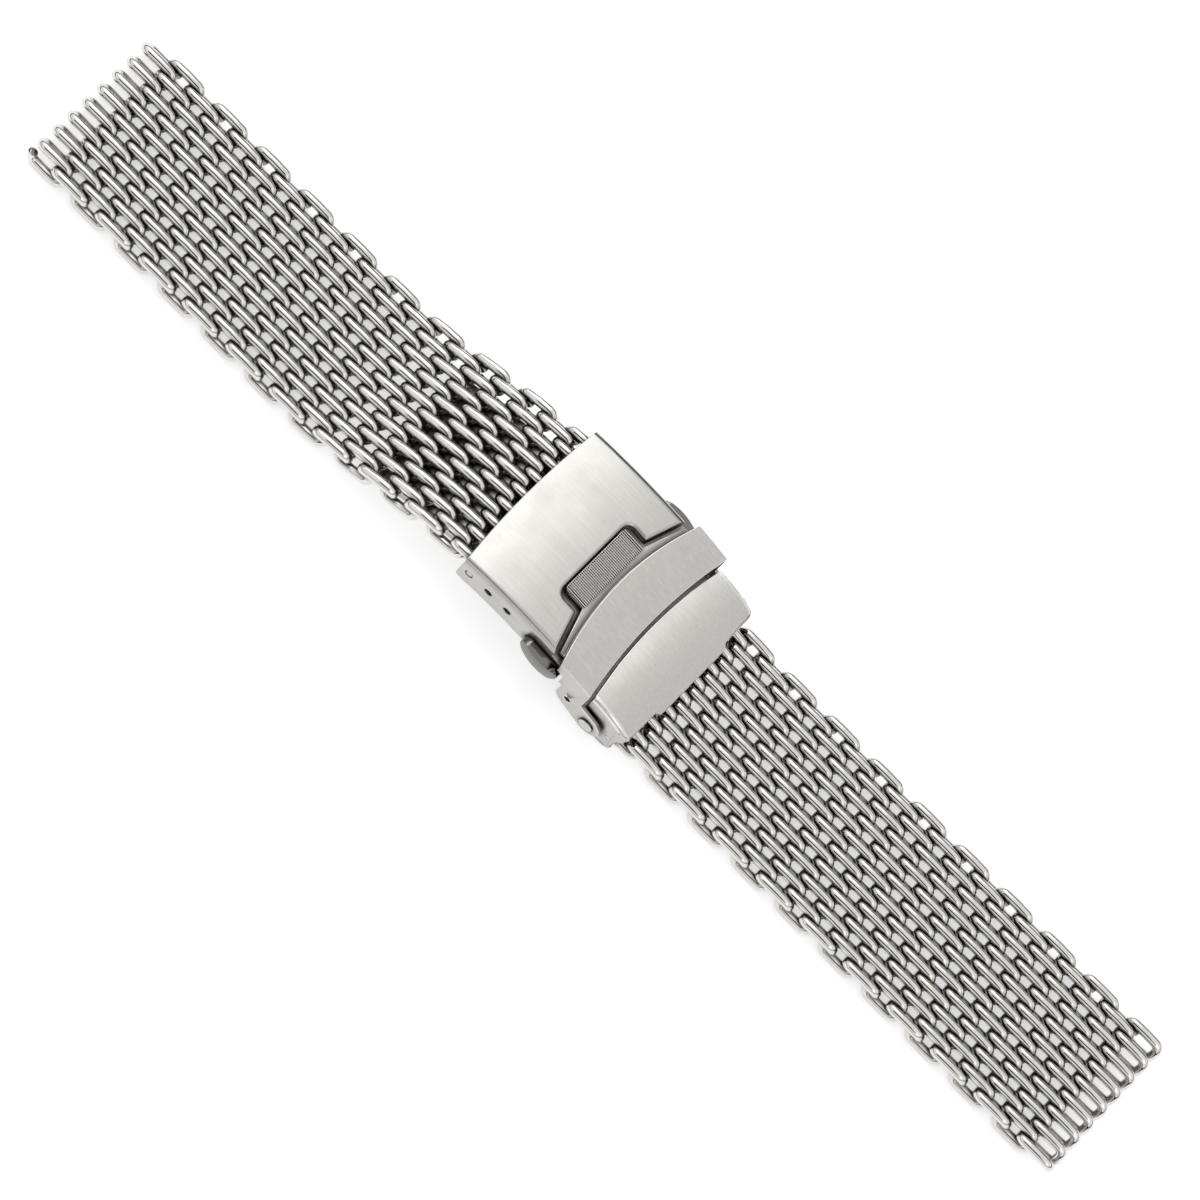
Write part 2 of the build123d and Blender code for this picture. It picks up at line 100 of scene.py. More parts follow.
# Clasp arcs, about one axis across the band, and the recess, slits and thumb tab on them
clasp_middle = 9.254 * mm
arc_centre_height = -48.836 * mm
cover_radius = 61.2 * mm
end_arc_x = 17.8 * mm
end_arc_height = -14.0 * mm
recess_left = 4.8 * mm
recess_right = 12.3 * mm
slit_inner = 8.05 * mm
slit_outer = 9.9 * mm
slit_widening = 0.35 * mm
slit_floor = 8 * mm
flange_gap = 0.3 * mm
recess_half_width = 6.9 * mm
cover_half = 12.9 * mm
tab_left = 5.05 * mm
tab_right = 8.5 * mm
tab_width = 11.5 * mm
rib_count = 39
rib_diameter = 0.21 * mm
rib_sink = 0.01 * mm
rib_sides = 10
rib_points = 7

# Softened edges and curved shading of the clasp's pieces
rim_reach = 0.15 * mm
merge_reach = 0.001 * mm
flat_angle = radians(0.5)
sharp_angle = radians(32)
crease_angle = radians(40)
long_bevel_turn = radians(45)
long_bevel_leeway = radians(3)
edge_segments = 4
arc_tolerance = radians(9)
end_arc_tolerance = radians(28)
arc_middle = Vector((-clasp_middle, 0, arc_centre_height))
end_arc_middle = Vector((end_arc_x - clasp_middle, 0, end_arc_height))
cover_edge_width = 0.5 * mm
cover_edge_share = 0.24
button_edge_width = 0.5 * mm
button_edge_share = 0.15
other_edge_share = 0.5
edge_widths = {
    "end_piece": 0.28 * mm,
    "flip_lock": 0.2 * mm,
    "long_blade": 0.16 * mm,
    "short_blade": 0.16 * mm,
    "flip_rivets": 0.4 * mm,
    "band_a_spring_bar": 0.3 * mm,
    "band_b_bar": 0.3 * mm,
}

# Finishes
broad_stroke_scale = 0.22
# Painted shade in crevices: how steeply it darkens, and how many occlusion samples it takes
painted_shade_power = 2.2
painted_shade_samples = 6

# Studio
matt = 0.9
white = (1, 1, 1, 1)
floor_colour = (0.86, 0.86, 0.87)
floor_grain_scale = 900.0
floor_grain_depth = 0.01 * mm
floor_width = 8
floor_drop = 0.02 * mm
floor_glow = 0.6
world_level = 0.5
black = (0.01, 0.01, 0.01)
surround_radius = 2.0
surround_height = 0.3
surround_sides = 48
gap_elevation = radians(51)
gap_distance = 1.2
gap_width = 1.4
far_gap_elevation = radians(26)
far_gap_distance = 1.6
far_gap_width = 2.6
gap_height = 0.5
key_place = Vector((-0.5, 0.46, 0.9))
key_size = (0.7, 1.1)
key_watts = 3.6
fill_place = Vector((0.7, -0.5, 0.8))
fill_size = (0.7, 0.7)
fill_watts = 1.2


def linked(name, data):
    """A new object for a mesh, a camera or a lamp, in the scene."""
    made = bpy.data.objects.new(name, data)
    bpy.context.scene.collection.objects.link(made)
    return made


# Node helpers
class Nodes:
    """Adds nodes to a tree and links them by socket name or number."""

    def __init__(self, tree):
        self.tree = tree

    def add(self, kind, inputs=None, **settings):
        """A new node, with its settings, and its inputs set to values or linked to sockets."""
        node = self.tree.nodes.new(kind)
        for name, value in settings.items():
            setattr(node, name, value)
        for key, value in (inputs or {}).items():
            socket = node.inputs[key]
            if isinstance(value, bpy.types.NodeSocket):
                self.tree.links.new(value, socket)
            else:
                socket.default_value = value
        return node

    def maths(self, operation, *values):
        """A Math node's result for two or three values or sockets."""
        inputs = dict(enumerate(values))
        return self.add("ShaderNodeMath", inputs, operation=operation).outputs[0]


def group_tree(name, kind, inputs, outputs):
    """A node group with named sockets, each given as (name, socket type, starting value)."""
    tree = bpy.data.node_groups.new(name, kind)
    for label, socket_type, start in inputs:
        socket = tree.interface.new_socket(label, in_out="INPUT", socket_type=socket_type)
        if start is not None:
            socket.default_value = start
    for label, socket_type in outputs:
        tree.interface.new_socket(label, in_out="OUTPUT", socket_type=socket_type)
    nodes = Nodes(tree)
    return nodes, nodes.add("NodeGroupInput").outputs, nodes.add("NodeGroupOutput").inputs


# Wire row
def wire_row_tree():
    """One row of the mesh: a flat left-handed spiral of round wire, set between its two pivots."""
    nodes, given, result = group_tree(
        "wire_row",
        "GeometryNodeTree",
        [
            ("Geometry", "NodeSocketGeometry", None),
            ("Turns", "NodeSocketInt", turns),
            ("Band Width", "NodeSocketFloat", band_width),
            ("Link Length", "NodeSocketFloat", link_length),
            ("Loop Height", "NodeSocketFloat", loop_height),
            ("Wire Diameter", "NodeSocketFloat", wire_diameter),
            ("Run Gap", "NodeSocketFloat", run_gap),
            ("Bend Radius", "NodeSocketFloat", bend_radius),
            ("Arch Share", "NodeSocketFloat", arch_share),
            ("Tip Reach", "NodeSocketFloat", tip_reach),
            ("Tip Lift", "NodeSocketFloat", tip_lift),
            ("First Side", "NodeSocketFloat", 1.0),
            ("Middle", "NodeSocketVector", None),
            ("Slope", "NodeSocketFloat", 0.0),
            ("Material", "NodeSocketMaterial", None),
        ],
        [("Geometry", "NodeSocketGeometry")],
    )
    maths = nodes.maths
    side_step = maths("MULTIPLY", maths("ADD", given["Wire Diameter"], given["Run Gap"]), 0.5)
    room = maths("SUBTRACT", given["Band Width"], given["Wire Diameter"])
    room = maths("SUBTRACT", room, maths("MULTIPLY", side_step, 2))
    half_pitch = maths("DIVIDE", room, maths("SUBTRACT", maths("MULTIPLY", given["Turns"], 2), 1))
    half_room = maths("MULTIPLY", room, 0.5)
    half_link = maths("MULTIPLY", given["Link Length"], 0.5)
    rise = maths("DIVIDE", maths("MULTIPLY", given["Loop Height"], 0.5), maths("ADD", given["Arch Share"], 1))

    # Each bend is two points, and one more bend point and a tip stand at each end
    last = maths("ADD", maths("MULTIPLY", given["Turns"], 4), 3)
    line = nodes.add("GeometryNodeMeshLine", {"Count": maths("ADD", last, 1)}, mode="OFFSET")
    index = nodes.add("GeometryNodeInputIndex").outputs[0]
    step = maths("SUBTRACT", index, 2)
    bend = maths("FLOOR", maths("MULTIPLY", step, 0.5))
    part = maths("SUBTRACT", step, maths("MULTIPLY", bend, 2))
    upper = maths("SUBTRACT", 1, maths("MULTIPLY", part, 2))
    odd = maths("MODULO", maths("ADD", bend, 2), 2)
    side = maths("MULTIPLY", given["First Side"], maths("SUBTRACT", 1, maths("MULTIPLY", odd, 2)))
    x = maths("MULTIPLY", side, half_link)
    y = maths("SUBTRACT", half_room, maths("MULTIPLY", bend, half_pitch))
    y = maths("ADD", y, maths("MULTIPLY", upper, side_step))
    z = maths("MULTIPLY", maths("MULTIPLY", side, upper), rise)

    # The tips are bent back to close the end loops
    is_first = maths("LESS_THAN", index, 0.5)
    is_last = maths("GREATER_THAN", index, maths("SUBTRACT", last, 0.5))
    near_first = maths("LESS_THAN", index, 1.5)
    near_last = maths("GREATER_THAN", index, maths("SUBTRACT", last, 1.5))
    at_end = maths("MAXIMUM", near_first, near_last)
    is_tip = maths("MAXIMUM", is_first, is_last)
    far_way = maths("SUBTRACT", near_first, near_last)
    first_x = maths("MULTIPLY", given["First Side"], half_link)
    end_x = maths("MULTIPLY", first_x, maths("MULTIPLY", far_way, -1))
    reach = mix(nodes, is_tip, given["Tip Reach"], side_step)
    lift = mix(nodes, is_tip, given["Tip Lift"], rise)
    end_y = maths("MULTIPLY", far_way, maths("ADD", half_room, reach))
    end_z = maths("MULTIPLY", given["First Side"], lift)
    place = nodes.add(
        "ShaderNodeCombineXYZ",
        {
            "X": mix(nodes, at_end, end_x, x),
            "Y": mix(nodes, at_end, end_y, y),
            "Z": mix(nodes, at_end, end_z, z),
        },
    )
    set_points = nodes.add(
        "GeometryNodeSetPosition", {"Geometry": line.outputs[0], "Position": place.outputs[0]}
    )
    curve = nodes.add("GeometryNodeMeshToCurve", {"Mesh": set_points.outputs[0]})
    rounded = nodes.add(
        "GeometryNodeFilletCurve",
        {
            "Curve": curve.outputs[0],
            "Count": bend_steps,
            "Radius": given["Bend Radius"],
            "Limit Radius": True,
        },
        mode="POLY",
    )
    divided = nodes.add("GeometryNodeSubdivideCurve", {"Curve": rounded.outputs[0], "Cuts": 1})

    # The runs are arched, most at their middle
    position = nodes.add("GeometryNodeInputPosition").outputs[0]
    spot = nodes.add("ShaderNodeSeparateXYZ", {0: position}).outputs
    from_middle = maths("POWER", maths("ABSOLUTE", maths("DIVIDE", spot["X"], half_link)), 2)
    swell = maths("MULTIPLY", maths("SUBTRACT", 1, from_middle), given["Arch Share"])
    arch = maths("MULTIPLY", swell, spot["Z"])
    lifted = nodes.add("ShaderNodeCombineXYZ", {"Z": arch})
    arched = nodes.add(
        "GeometryNodeSetPosition", {"Geometry": divided.outputs[0], "Offset": lifted.outputs[0]}
    )
    profile = nodes.add(
        "GeometryNodeCurvePrimitiveCircle",
        {"Resolution": wire_sides, "Radius": maths("MULTIPLY", given["Wire Diameter"], 0.5)},
    )
    tube = nodes.add(
        "GeometryNodeCurveToMesh",
        {"Curve": arched.outputs[0], "Profile Curve": profile.outputs[0], "Fill Caps": True},
    )
    turn = nodes.add("ShaderNodeCombineXYZ", {"Y": given["Slope"]})
    placed = nodes.add(
        "GeometryNodeTransform",
        {"Geometry": tube.outputs[0], "Translation": given["Middle"], "Rotation": turn.outputs[0]},
    )
    return finished_tree(nodes, placed.outputs[0], given["Material"], result[0])


# Thumb tab
def thumb_rib_tree():
    """The grip's ribs: one round-backed rib along the band, bent to the clasp's arc, copied across it."""
    nodes, given, result = group_tree(
        "thumb_ribs",
        "GeometryNodeTree",
        [
            ("Geometry", "NodeSocketGeometry", None),
            ("Ribs", "NodeSocketInt", rib_count),
            ("Grip Width", "NodeSocketFloat", tab_width),
            ("Left", "NodeSocketFloat", tab_left),
            ("Right", "NodeSocketFloat", tab_right),
            ("Arc Radius", "NodeSocketFloat", cover_radius - rib_sink),
            ("Rib Diameter", "NodeSocketFloat", rib_diameter),
            ("Material", "NodeSocketMaterial", None),
        ],
        [("Geometry", "NodeSocketGeometry")],
    )
    maths = nodes.maths
    line = nodes.add("GeometryNodeMeshLine", {"Count": rib_points}, mode="OFFSET")
    share = maths("DIVIDE", nodes.add("GeometryNodeInputIndex").outputs[0], rib_points - 1)
    along = mix(nodes, share, given["Right"], given["Left"])
    squared = maths("SUBTRACT", maths("POWER", given["Arc Radius"], 2), maths("POWER", along, 2))
    place = nodes.add(
        "ShaderNodeCombineXYZ",
        {
            "X": maths("SUBTRACT", along, clasp_middle),
            "Z": maths("ADD", maths("SQRT", squared), arc_centre_height),
        },
    )
    bent = nodes.add("GeometryNodeSetPosition", {"Geometry": line.outputs[0], "Position": place.outputs[0]})
    curve = nodes.add("GeometryNodeMeshToCurve", {"Mesh": bent.outputs[0]})
    profile = nodes.add(
        "GeometryNodeCurvePrimitiveCircle",
        {"Resolution": rib_sides, "Radius": maths("MULTIPLY", given["Rib Diameter"], 0.5)},
    )
    rib = nodes.add(
        "GeometryNodeCurveToMesh",
        {"Curve": curve.outputs[0], "Profile Curve": profile.outputs[0], "Fill Caps": True},
    )
    half = maths("MULTIPLY", maths("SUBTRACT", given["Grip Width"], given["Rib Diameter"]), 0.5)
    near = nodes.add("ShaderNodeCombineXYZ", {"Y": maths("MULTIPLY", half, -1)})
    far = nodes.add("ShaderNodeCombineXYZ", {"Y": half})
    across = nodes.add(
        "GeometryNodeMeshLine",
        {"Count": given["Ribs"], "Start Location": near.outputs[0], "Offset": far.outputs[0]},
        mode="END_POINTS",
    )
    copies = nodes.add(
        "GeometryNodeInstanceOnPoints", {"Points": across.outputs[0], "Instance": rib.outputs[0]}
    )
    return finished_tree(nodes, copies.outputs[0], given["Material"], result[0])


def finished_tree(nodes, geometry, material, result):
    """Ends a tree with real, smoothly shaded geometry in one material."""
    real = nodes.add("GeometryNodeRealizeInstances", {"Geometry": geometry})
    smooth = nodes.add("GeometryNodeSetShadeSmooth", {"Geometry": real.outputs[0]})
    finish = nodes.add("GeometryNodeSetMaterial", {"Geometry": smooth.outputs[0], "Material": material})
    nodes.tree.links.new(finish.outputs[0], result)
    return nodes.tree


def mix(nodes, choice, when_one, when_zero):
    """The first value where the choice is one, and the second where it is zero."""
    difference = nodes.maths("SUBTRACT", when_one, when_zero)
    return nodes.maths("MULTIPLY_ADD", choice, difference, when_zero)


def grown(name, tree, **inputs):
    """A plain mesh object made by a Geometry Nodes tree with these named inputs."""
    seed = linked(name, bpy.data.meshes.new(name))
    modifier = seed.modifiers.new(name, "NODES")
    modifier.node_group = tree
    sockets = {
        item.name: item.identifier
        for item in tree.interface.items_tree
        if item.item_type == "SOCKET" and item.in_out == "INPUT"
    }
    for label, value in inputs.items():
        modifier[sockets[label.replace("_", " ")]] = value
    bpy.context.view_layer.update()
    grid = bpy.context.evaluated_depsgraph_get()
    mesh = bpy.data.meshes.new_from_object(seed.evaluated_get(grid))
    seed.modifiers.remove(modifier)
    seed.data = mesh
    mesh.name = name
    return seed


# Finishes
def brushed_lines_group():
    """Fine straight scratches along the band, as a tone and a height that change over the surface."""
    nodes, given, result = group_tree(
        "brushed_lines",
        "ShaderNodeTree",
        [
            ("Stroke Length", "NodeSocketFloat", 3.0 * mm),
            ("Stroke Width", "NodeSocketFloat", 0.06 * mm),
        ],
        [("Tone", "NodeSocketFloat"), ("Height", "NodeSocketFloat")],
    )
    along = nodes.maths("DIVIDE", 1, given["Stroke Length"])
    across = nodes.maths("DIVIDE", 1, given["Stroke Width"])
    scale = nodes.add("ShaderNodeCombineXYZ", {"X": along, "Y": across, "Z": across})
    place = nodes.add("ShaderNodeTexCoord").outputs["Object"]
    stretched = nodes.add("ShaderNodeMapping", {"Vector": place, "Scale": scale.outputs[0]})
    fine = nodes.add("ShaderNodeTexNoise", {"Vector": stretched.outputs[0], "Scale": 1.0, "Detail": 3.0})
    broad = nodes.add(
        "ShaderNodeTexNoise",
        {"Vector": stretched.outputs[0], "Scale": broad_stroke_scale, "Detail": 2.0},
    )
    fine_half = nodes.maths("MULTIPLY", fine.outputs["Fac"], 0.5)
    both = nodes.maths("MULTIPLY_ADD", broad.outputs["Fac"], 0.5, fine_half)
    nodes.tree.links.new(both, result["Tone"])
    nodes.tree.links.new(fine.outputs["Fac"], result["Height"])
    return nodes.tree


def handling_group():
    """Soft smudges and small dull patches from handling, as a mask."""
    nodes, given, result = group_tree(
        "handling_marks",
        "ShaderNodeTree",
        [("Patch Size", "NodeSocketFloat", 4.0 * mm), ("Contrast", "NodeSocketFloat", 1.0)],
        [("Mask", "NodeSocketFloat")],
    )
    place = nodes.add("ShaderNodeTexCoord").outputs["Object"]
    scale = nodes.maths("DIVIDE", 1, given["Patch Size"])
    patch = nodes.add(
        "ShaderNodeTexNoise", {"Vector": place, "Scale": scale, "Detail": 4.0, "Roughness": 0.6}
    )
    centred = nodes.maths("SUBTRACT", patch.outputs["Fac"], 0.5)
    mask = nodes.maths("MULTIPLY_ADD", centred, given["Contrast"], 0.5)
    nodes.tree.links.new(mask, result["Mask"])
    return nodes.tree


def steel(name, tint, roughness, roughness_spread, stroke, bump, tone_spread, painted_shade):
    """A steel finish: brushing strokes and handling marks in its tint and gloss, and painted shade that
    darkens its tint in crevices.

    A painted shade is how far its occlusion reaches and its tone in a closed crevice, where 1 is no darker.
    """
    material = bpy.data.materials.new(name)
    material.use_nodes = True
    material.diffuse_color = (*tint, 1)
    nodes = Nodes(material.node_tree)
    shader = material.node_tree.nodes["Principled BSDF"]
    stroke_length, stroke_width = stroke
    painted_shade_reach, painted_shade_tone = painted_shade
    brushed = nodes.add("ShaderNodeGroup", node_tree=bpy.data.node_groups["brushed_lines"])
    brushed.inputs["Stroke Length"].default_value = stroke_length
    brushed.inputs["Stroke Width"].default_value = stroke_width
    handled = nodes.add("ShaderNodeGroup", node_tree=bpy.data.node_groups["handling_marks"])
    stroke_tone = nodes.maths("SUBTRACT", brushed.outputs["Tone"], 0.5)
    dull = nodes.maths("SUBTRACT", handled.outputs["Mask"], 0.5)
    tone = nodes.maths("MULTIPLY_ADD", stroke_tone, tone_spread, 1.0)
    tone = nodes.maths("MULTIPLY_ADD", dull, -tone_spread / 4, tone)
    # Painted shade: the tint is darkened where the ambient occlusion finds other surfaces close by, in
    # crevices and gaps
    painted_shade_occlusion = nodes.add("ShaderNodeAmbientOcclusion", {"Distance": painted_shade_reach}, samples=painted_shade_samples)
    open_share = nodes.maths("POWER", painted_shade_occlusion.outputs["AO"], painted_shade_power)
    shade = nodes.maths("MULTIPLY_ADD", open_share, 1 - painted_shade_tone, painted_shade_tone)
    tone = nodes.maths("MULTIPLY", tone, shade)
    tinted = nodes.add("ShaderNodeVectorMath", {0: tint, "Scale": tone}, operation="SCALE")
    rough = nodes.maths("MULTIPLY_ADD", nodes.maths("ADD", dull, stroke_tone), roughness_spread, roughness)
    raised = nodes.add(
        "ShaderNodeBump",
        {"Height": brushed.outputs["Height"], "Distance": bump, "Strength": 1.0},
    )
    nodes.tree.links.new(tinted.outputs[0], shader.inputs["Base Color"])
    nodes.tree.links.new(rough, shader.inputs["Roughness"])
    nodes.tree.links.new(raised.outputs[0], shader.inputs["Normal"])
    shader.inputs["Metallic"].default_value = 1.0
    return material


brushed_lines_group()
handling_group()
# Each finish's painted shade is its reach and its tone in a closed crevice; the grip's tone below zero
# darkens its grooves most
wire_steel = steel(
    "drawn_wire",
    tint=(0.68, 0.665, 0.635),
    roughness=0.07,
    roughness_spread=0.05,
    stroke=(1.2 * mm, 0.1 * mm),
    bump=0.001 * mm,
    tone_spread=0.3,
    painted_shade=(1.0 * mm, 0.0),
)
satin = steel(
    "satin_steel",
    tint=(0.525, 0.515, 0.488),
    roughness=0.36,
    roughness_spread=0.2,
    stroke=(3.0 * mm, 0.06 * mm),
    bump=0.006 * mm,
    tone_spread=0.5,
    painted_shade=(1.0 * mm, 0.0),
)
polished = steel(
    "polished_steel",
    tint=(0.55, 0.54, 0.52),
    roughness=0.1,
    roughness_spread=0.1,
    stroke=(2.0 * mm, 0.06 * mm),
    bump=0.001 * mm,
    tone_spread=0.15,
    painted_shade=(0.5 * mm, 0.2),
)
# Painted dark reflection: the buttons' tint is far darker than steel's own, for the dark that the near button
# reflects
button_steel_painted_dark = steel(
    "button_steel_painted_dark",
    tint=(0.19, 0.184, 0.174),
    roughness=0.1,
    roughness_spread=0.08,
    stroke=(2.0 * mm, 0.06 * mm),
    bump=0.001 * mm,
    tone_spread=0.2,
    painted_shade=(0.6 * mm, 0.1),
)
spring = steel(
    "spring_steel",
    tint=(0.5, 0.49, 0.475),
    roughness=0.2,
    roughness_spread=0.1,
    stroke=(1.5 * mm, 0.06 * mm),
    bump=0.002 * mm,
    tone_spread=0.2,
    painted_shade=(0.5 * mm, 0.3),
)
worn_edge = steel(
    "worn_edge",
    tint=(0.68, 0.67, 0.64),
    roughness=0.22,
    roughness_spread=0.1,
    stroke=(1.5 * mm, 0.07 * mm),
    bump=0.002 * mm,
    tone_spread=0.2,
    painted_shade=(0.5 * mm, 0.2),
)
# Painted shade: the cover's rounded edges get a darker tint than its satin top, for the dark band where they
# turn away from the light
rolled_edge_painted_shade = steel(
    "rolled_edge_painted_shade",
    tint=(0.45, 0.44, 0.42),
    roughness=0.3,
    roughness_spread=0.15,
    stroke=(3.0 * mm, 0.06 * mm),
    bump=0.004 * mm,
    tone_spread=0.3,
    painted_shade=(1.0 * mm, 0.0),
)
grip_steel = steel(
    "grip_steel",
    tint=(0.72, 0.71, 0.68),
    roughness=0.25,
    roughness_spread=0.1,
    stroke=(4.0 * mm, 0.5 * mm),
    bump=0.0005 * mm,
    tone_spread=0.1,
    painted_shade=(0.25 * mm, -0.6),
)
finishes = {
    "steel_wire": wire_steel,
    "satin_steel": satin,
    "polished_steel": polished,
    "spring_steel": spring,
}


# Mesh
def joint_places():
    """Each hinge's place in the row frame, by the body that it carries."""
    return {joint["child"]: Vector(joint["pos_m"]) for joint in frame["joints"] if joint["type"] == "hinge"}


def band_rows(letter, numbers, way):
    """Each row's name, middle and slope, from the clasp outwards, between its two pivots."""
    places = joint_places()
    names = ["mesh_%s_%02d" % (letter, number) for number in numbers]
    pivots = [places[name] for name in names]
    pivots[0] = pivots[0] - Vector((way * bar_to_pivot, 0, 0))
    pivots.append(pivots[-1] + Vector((way * row_pitch, 0, 0)))
    for name, number, inner, outer in zip(names, numbers, pivots, pivots[1:]):
        slope = way * atan2(inner.z - outer.z, way * (outer.x - inner.x))
        yield name, number, (inner + outer) / 2, slope


def mesh_band():
    """Both halves of the band, a wire row for each row of the solids."""
    tree = wire_row_tree()
    count = rows_each_side
    sides = [("a", range(count, 0, -1), -1), ("b", range(1, count + 1), 1)]
    for letter, numbers, way in sides:
        for name, number, middle, slope in band_rows(letter, list(numbers), way):
            shorter = end_trim if number == numbers[-1] else 0
            row = grown(
                name + "_wire",
                tree,
                First_Side=-1.0 if number % 2 else 1.0,
                Link_Length=link_length - shorter,
                Middle=middle - Vector((way * shorter / 2, 0, 0)),
                Slope=slope,
                Material=finishes["steel_wire"],
            )
            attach(row, name)
            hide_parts(name)


# Clasp
def on_recess_rim(edge):
    """Whether an edge of the cover runs along the rim of the recess round the thumb tab."""
    for corner in edge.verts:
        along = corner.co.x + clasp_middle
        above = corner.co.z - arc_centre_height
        if not recess_left - rim_reach < along < recess_right - rim_reach:
            return False
        if abs(Vector((along, above)).length - cover_radius) >= rim_reach:
            return False
    return True


def arc_normals(mesh, arc_middle, tolerance):
    """Shades the faces that lie along an arc as the true curve, and leaves the others as they are."""
    normals = [corner.vector.copy() for corner in mesh.corner_normals]
    for face in mesh.polygons:
        out = face.center - arc_middle
        out.y = 0
        out.normalize()
        facing = face.normal.dot(out)
        if abs(facing) < cos(tolerance):
            continue
        for corner in face.loop_indices:
            out = mesh.vertices[mesh.loops[corner].vertex_index].co - arc_middle
            out.y = 0
            normals[corner] = out.normalized() * (1 if facing > 0 else -1)
    mesh.normals_split_custom_set(normals)


def on_long_bevel(edge):
    """Whether an edge lies beside one of the cut bevels that run along the band."""
    start, end = [corner.co for corner in edge.verts]
    beside_bevel = abs(edge.calc_face_angle() - long_bevel_turn) < long_bevel_leeway
    return beside_bevel and abs(end.x - start.x) > abs(end.y - start.y)


def open_slits(work):
    """Draws the slanted front edges of the flip lock back from the cover, which leaves the dark slits."""
    lean = (slit_outer - slit_inner) / (cover_half - recess_half_width)
    for corner in work.verts:
        beyond = abs(corner.co.y) - recess_half_width
        edge_x = slit_inner + flange_gap + lean * beyond - clasp_middle
        if beyond > -rim_reach and abs(corner.co.x - edge_x) < rim_reach and corner.co.z > slit_floor:
            corner.co.x += slit_widening


def on_button_face(edge):
    """Whether an edge bounds a push-button's outer face."""
    return all(abs(corner.co.y) > cover_half + rim_reach for corner in edge.verts)


def rolled(edge):
    """Whether an edge of the cover is one of its soft, rolled ones."""
    return on_recess_rim(edge) or on_long_bevel(edge)


def softened(node, width, finish, slot, rim, edge_share, edge_finish):
    """A copy of a clasp piece, standing for it, with its rim rounded and its other edges rounded less."""
    source = frame["nodes"][node]
    mesh = source.data.copy()
    piece = linked(node + "_finished", mesh)
    work = bmesh.new()
    work.from_mesh(mesh)
    bmesh.ops.remove_doubles(work, verts=work.verts, dist=merge_reach)
    bmesh.ops.dissolve_limit(
        work, angle_limit=flat_angle, verts=work.verts, edges=work.edges, delimit={"NORMAL"}
    )
    if node == "flip_lock":
        open_slits(work)
    weights = work.edges.layers.float.new("bevel_weight_edge")
    for edge in work.edges:
        if edge.is_manifold and edge.calc_face_angle() > sharp_angle:
            edge[weights] = 1.0 if rim(edge) else edge_share
    for face in work.faces:
        face.smooth = True
    work.to_mesh(mesh)
    work.free()
    mesh.materials.clear()
    mesh.materials.append(finish)
    mesh.materials.append(edge_finish)
    bevel = piece.modifiers.new("edge", "BEVEL")
    bevel.width = width
    bevel.segments = edge_segments
    bevel.limit_method = "WEIGHT"
    bevel.material = 1
    # The cover's flanks stay whole only with even widths, and the small buttons need their overlaps clamped
    bevel.loop_slide = node != "cover"
    bevel.use_clamp_overlap = node.startswith("button")
    bpy.context.view_layer.update()
    grid = bpy.context.evaluated_depsgraph_get()
    finished = bpy.data.meshes.new_from_object(piece.evaluated_get(grid))
    piece.modifiers.clear()
    piece.data = finished
    finished.set_sharp_from_angle(angle=crease_angle)
    if node == "end_piece":
        arc_normals(finished, end_arc_middle, end_arc_tolerance)
    else:
        arc_normals(finished, arc_middle, arc_tolerance)
    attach(piece, source["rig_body"])
    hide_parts(node)


def clasp():
    """Gives every clasp piece its finish, most of them softened edges too, and the thumb tab its ribs."""
    slots = {piece["node"]: piece["material_slot"] for piece in frame["record"]["subparts"]}
    for node, source in frame["nodes"].items():
        if node.startswith("mesh_"):
            continue
        finish = button_steel_painted_dark if node.startswith("button") else finishes[slots[node]]
        if node == "cover":
            softened(node, cover_edge_width, finish, slots[node], rolled, cover_edge_share, rolled_edge_painted_shade)
        elif node.startswith("button"):
            softened(node, button_edge_width, finish, slots[node], on_button_face, button_edge_share, finish)
        elif node in edge_widths:
            softened(node, edge_widths[node], finish, slots[node], on_long_bevel, other_edge_share, worn_edge)
        else:
            source.data.materials.clear()
            source.data.materials.append(finish)
    ribs = grown("thumb_ribs", thumb_rib_tree(), Material=grip_steel)
    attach(ribs, "flip_lock")


# Studio
def camera():
    """The photograph's view: from the near side, high up, turned so that the band runs to a corner."""
    back = Vector((0, -cos(camera_elevation), sin(camera_elevation)))
    right = Vector((1, 0, 0))
    up = back.cross(right)
    rolled_right = right * cos(camera_roll) + up * sin(camera_roll)
    rolled_up = up * cos(camera_roll) - right * sin(camera_roll)
    data = bpy.data.cameras.new("camera")
    data.sensor_width = sensor * 1000
    view_width = photo_pixels / pixels_per_mm * mm
    data.lens = sensor * camera_distance / view_width * 1000
    data.shift_y = photo_drop / photo_pixels
    data.clip_end = far_clip
    shown = linked("camera", data)
    turn = Matrix((rolled_right, rolled_up, back)).transposed().to_4x4()
    shown.matrix_world = Matrix.Translation(looks_at + back * camera_distance) @ turn
    bpy.context.scene.camera = shown


def facing_plane(name, centre, target, width, height, roll_axis):
    """A flat sheet at a place, turned to face a point, with its width along an axis."""
    normal = (target - centre).normalized()
    across = (roll_axis - normal * roll_axis.dot(normal)).normalized()
    along = normal.cross(across)
    corners = [
        centre + across * width / 2 * a + along * height / 2 * b
        for a, b in ((-1, -1), (1, -1), (1, 1), (-1, 1))
    ]
    mesh = bpy.data.meshes.new(name)
    mesh.from_pydata(corners, [], [(0, 1, 2, 3)])
    return linked(name, mesh)


def plain_material(name, colour, roughness):
    """A matt material without a highlight."""
    material = bpy.data.materials.new(name)
    material.use_nodes = True
    shader = material.node_tree.nodes["Principled BSDF"]
    shader.inputs["Base Color"].default_value = (*colour, 1)
    shader.inputs["Roughness"].default_value = roughness
    shader.inputs["Specular IOR Level"].default_value = 0.0
    return material


def seen_directly(nodes):
    """One for rays from the camera, or off metal or through glass, and zero for other rays."""
    path = nodes.add("ShaderNodeLightPath").outputs
    seen = nodes.maths("MAXIMUM", path["Is Camera Ray"], path["Is Glossy Ray"])
    return nodes.maths("MAXIMUM", seen, path["Is Transmission Ray"])


